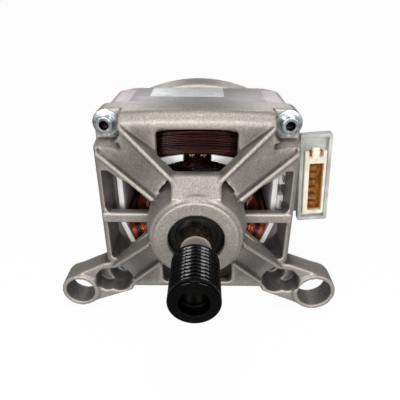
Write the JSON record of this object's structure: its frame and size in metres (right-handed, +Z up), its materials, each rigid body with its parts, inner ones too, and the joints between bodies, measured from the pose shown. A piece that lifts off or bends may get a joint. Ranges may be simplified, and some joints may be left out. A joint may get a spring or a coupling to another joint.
{
  "type": "washing machine motor",
  "caption": "Washing machine motor with cast end brackets, ribbed belt pulley, field coils, brush gear and side connector.",
  "frame": {"origin": "on the shaft axis at the middle of the belt track", "axes": "-Y from the motor towards the pulley, +X to the right as the pulley is looked at, +Z up"},
  "size_m": [0.1693, 0.2113, 0.1252],
  "materials": {
    "cast_aluminium": "cast",
    "lamination_steel": "varnished laminations",
    "label_film": "bare",
    "zinc_steel": "zinc plated",
    "coil_copper": "enamelled winding wire",
    "white_nylon": "moulded",
    "tin_plate": "tinned",
    "shaft_steel": "ground",
    "black_oxide": "black oxide with oil",
    "bearing_steel": "ground",
    "shield_steel": "pressed",
    "insulating_paper": "pressboard",
    "commutator_copper": "worn",
    "phenolic": "moulded",
    "black_plastic": "moulded",
    "brass_tube": "drawn",
    "carbon": "pressed carbon",
    "spring_steel": "bright",
    "ferrite": "ground",
    "grey_plastic": "moulded",
    "cream_plastic": "moulded"
  },
  "bodies": {
    "frame": {"front_bracket": "cast_aluminium", "rear_bracket": "cast_aluminium", "stator_core": "lamination_steel", "label": "label_film", "through_bolts": "zinc_steel", "bolt_washers": "zinc_steel", "upper_coil_core": "coil_copper", "upper_coil_wire": "coil_copper", "lower_coil_core": "coil_copper", "lower_coil_wire": "coil_copper", "front_insulator": "white_nylon", "rear_insulator": "white_nylon", "terminal_blocks": "white_nylon", "lead_terminals": "tin_plate", "front_outer_race": "bearing_steel", "front_bearing_shields": "shield_steel", "rear_outer_race": "bearing_steel", "rear_bearing_shields": "shield_steel", "retaining_ring": "spring_steel", "preload_washer": "spring_steel", "brush_holders": "black_plastic", "brush_tubes": "brass_tube", "brush_caps": "brass_tube", "left_brush_spring": "spring_steel", "right_brush_spring": "spring_steel", "tacho_coil": "coil_copper", "tacho_cap": "black_plastic", "tacho_screws": "zinc_steel", "connector_housing": "cream_plastic", "connector_contacts": "tin_plate", "connector_tray": "grey_plastic"},
    "rotor": {"shaft": "shaft_steel", "belt_pulley": "black_oxide", "front_inner_race": "bearing_steel", "rear_inner_race": "bearing_steel", "rotor_core": "lamination_steel", "rotor_insulators": "insulating_paper", "rotor_winding": "coil_copper", "slot_wedges": "insulating_paper", "commutator_hub": "phenolic", "commutator_segments": "commutator_copper", "tacho_magnet": "ferrite"},
    "front_cage": {"front_balls": "bearing_steel", "front_ball_cage": "shield_steel"},
    "rear_cage": {"rear_balls": "bearing_steel", "rear_ball_cage": "shield_steel"},
    "left_brush": {"left_brush": "carbon"},
    "right_brush": {"right_brush": "carbon"}
  },
  "joints": [
    {"name": "rotor_spin", "type": "hinge", "parent": "frame", "child": "rotor", "pos_m": [0, 0, 0], "axis": [0, 1, 0], "continuous": true},
    {"name": "front_cage_spin", "type": "hinge", "parent": "frame", "child": "front_cage", "pos_m": [0, 0.0399, 0], "axis": [0, 1, 0], "continuous": true},
    {"name": "rear_cage_spin", "type": "hinge", "parent": "frame", "child": "rear_cage", "pos_m": [0, 0.1764, 0], "axis": [0, 1, 0], "continuous": true},
    {"name": "left_brush_slide", "type": "slide", "parent": "frame", "child": "left_brush", "axis": [-1, 0, 0], "range_m": [0, 0.003], "stiffness_N_per_m": 300, "springref_m": -0.008, "deforming": ["left_brush_spring"]},
    {"name": "right_brush_slide", "type": "slide", "parent": "frame", "child": "right_brush", "axis": [1, 0, 0], "range_m": [0, 0.003], "stiffness_N_per_m": 300, "springref_m": -0.008, "deforming": ["right_brush_spring"]}
  ],
  "couplings": [
    {"joint": "front_cage_spin", "follows": "rotor_spin", "ratio": 0.38094},
    {"joint": "rear_cage_spin", "follows": "rotor_spin", "ratio": 0.3647}
  ]
}
